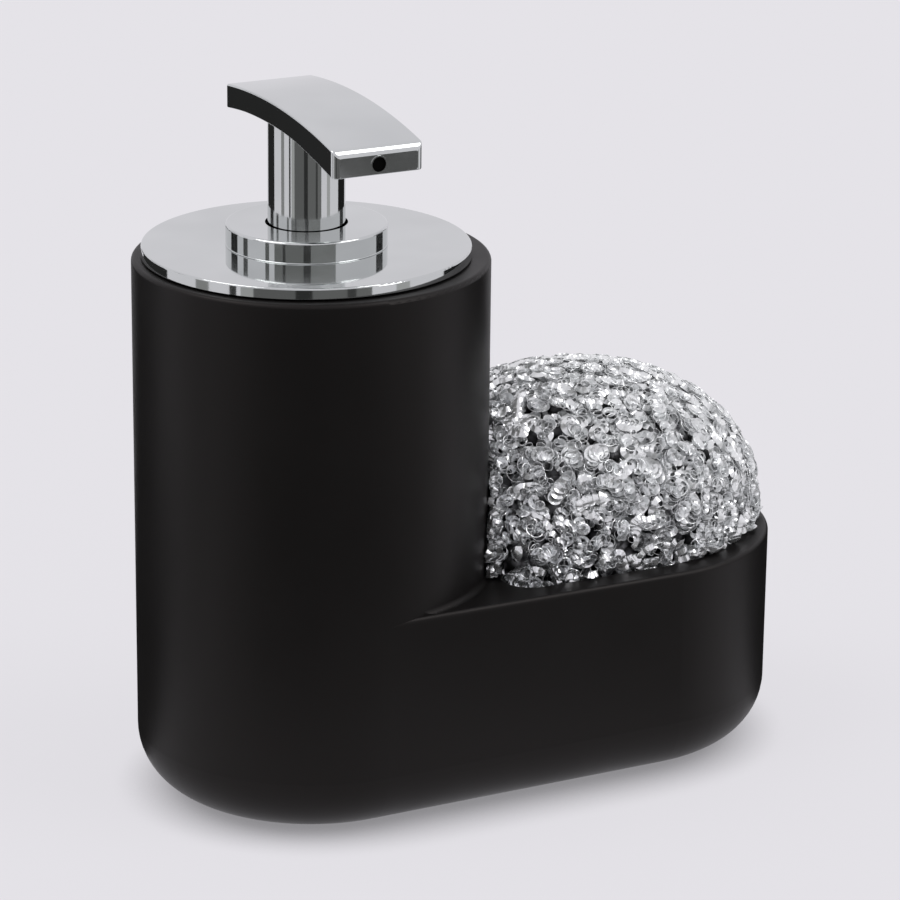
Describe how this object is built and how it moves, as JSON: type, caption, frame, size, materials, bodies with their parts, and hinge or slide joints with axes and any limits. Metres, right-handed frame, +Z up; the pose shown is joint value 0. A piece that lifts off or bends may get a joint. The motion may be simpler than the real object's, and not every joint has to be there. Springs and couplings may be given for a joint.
{
  "type": "soap pump caddy",
  "caption": "Matt black soap dispenser with a chrome arched pump, joined to a low tray that holds a curly metal scourer.",
  "frame": {"origin": "centre of the footprint on the surface that the caddy stands on", "axes": "+Z up, +X from the reservoir towards the tray, -Y the way the nozzle points at rest"},
  "size_m": [0.1548, 0.08, 0.1628],
  "materials": {
    "black_resin": "matte cast resin with a faint sheen",
    "pad_foam": "matte foam sheet",
    "black_plastic": "satin moulded plastic",
    "seal_rubber": "matte",
    "natural_plastic": "satin natural polypropylene",
    "clear_tube": "translucent polyethylene",
    "spring_steel": "bright wire",
    "chrome": "polished",
    "scourer_ribbon": "knitted bright steel ribbon"
  },
  "bodies": {
    "caddy": {"caddy_body": "black_resin", "base_pad": "pad_foam", "neck_insert": "black_plastic"},
    "pump": {"pump_housing": "natural_plastic", "neck_gasket": "seal_rubber", "guide_cap": "natural_plastic", "dip_tube": "clear_tube", "return_spring": "spring_steel"},
    "inlet_valve": {"inlet_ball": "spring_steel"},
    "closure": {"screw_closure": "black_plastic", "cover_plate": "chrome", "plate_seal": "seal_rubber", "collar": "chrome"},
    "plunger": {"piston_rod": "natural_plastic", "piston": "natural_plastic"},
    "spout": {"spout_shell": "chrome", "spout_base": "chrome", "stem_sleeve": "chrome", "outlet_elbow": "natural_plastic", "outlet_tube": "clear_tube", "nozzle_tip": "chrome"},
    "scourer": {"scourer": "scourer_ribbon"}
  },
  "joints": [
    {"name": "pump_lift", "type": "slide", "parent": "caddy", "child": "pump", "axis": [0, 0, 1], "range_m": [0, 0.12]},
    {"name": "closure_turn", "type": "hinge", "parent": "pump", "child": "closure", "pos_m": [-0.0386, 0, 0.126], "axis": [0, 0, 1], "continuous": true},
    {"name": "pump_press", "type": "slide", "parent": "pump", "child": "plunger", "axis": [0, 0, -1], "range_m": [0, 0.014], "stiffness_N_per_m": 400, "springref_m": -0.012, "deforming": ["return_spring"]},
    {"name": "spout_swivel", "type": "hinge", "parent": "plunger", "child": "spout", "pos_m": [-0.0386, 0, 0.15], "axis": [0, 0, 1], "continuous": true},
    {"name": "inlet_ball_lift", "type": "slide", "parent": "pump", "child": "inlet_valve", "axis": [0, 0, 1], "range_m": [0, 0.002]},
    {"name": "scourer_lift", "type": "slide", "parent": "caddy", "child": "scourer", "axis": [0, 0, 1], "range_m": [0, 0.06]}
  ]
}
